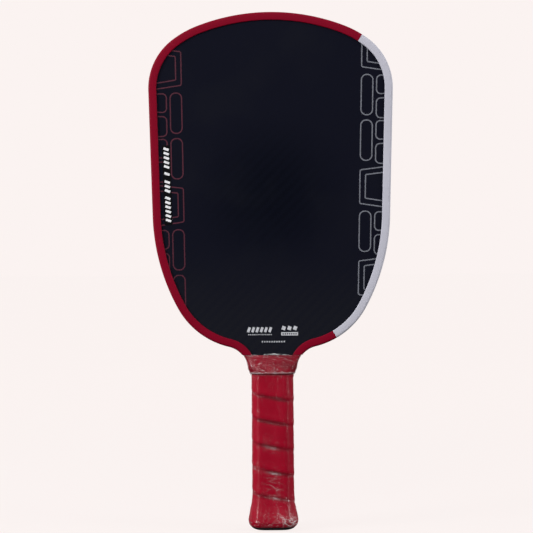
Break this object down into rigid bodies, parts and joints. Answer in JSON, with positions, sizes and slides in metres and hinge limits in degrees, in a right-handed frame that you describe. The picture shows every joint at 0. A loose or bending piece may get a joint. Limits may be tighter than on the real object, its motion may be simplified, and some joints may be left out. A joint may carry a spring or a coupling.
{
  "type": "pickleball paddle",
  "caption": "Pickleball paddle with a flat rounded head, a channel edge guard in two colours, and a wrapped octagonal handle with a flared butt in a clear sleeve.",
  "frame": {"origin": "centre of the flat butt end", "axes": "+Z from the butt end up to the top of the head, +X to the right seen from the front, +Y out of the back face"},
  "size_m": [0.1956, 0.0344, 0.414],
  "materials": {
    "face_composite": "matt fine grain",
    "guard_red": "satin",
    "guard_grey": "satin",
    "collar_rubber": "satin",
    "grip_leather": "fine grain",
    "cap_plastic": "fine texture",
    "clear_film": "clear, crinkled",
    "label": "gloss",
    "bond_film": "amber",
    "honeycomb": "translucent white",
    "edge_foam": "foam",
    "core_foam": "rigid foam",
    "carbon_rim": "moulded",
    "foam_tape": "adhesive foam",
    "shell_foam": "moulded foam",
    "staple_steel": "drawn wire",
    "tape_black": "woven tape"
  },
  "bodies": {
    "root": {"back_bond_film": "bond_film", "back_face_skin": "face_composite", "back_handle_shell": "shell_foam", "butt_cap": "cap_plastic", "butt_cap_staples": "staple_steel", "carbon_rim": "carbon_rim", "cushion_grip": "grip_leather", "edge_guard_grey": "guard_grey", "edge_guard_red_long": "guard_red", "edge_guard_red_short": "guard_red", "foam_edge_wall": "edge_foam", "front_bond_film": "bond_film", "front_face_skin": "face_composite", "front_handle_shell": "shell_foam", "grip_film": "clear_film", "grip_finishing_tape": "tape_black", "guard_tape": "foam_tape", "handle_core": "core_foam", "honeycomb_core": "honeycomb", "spec_label": "label", "throat_collar": "collar_rubber"}
  },
  "joints": []
}
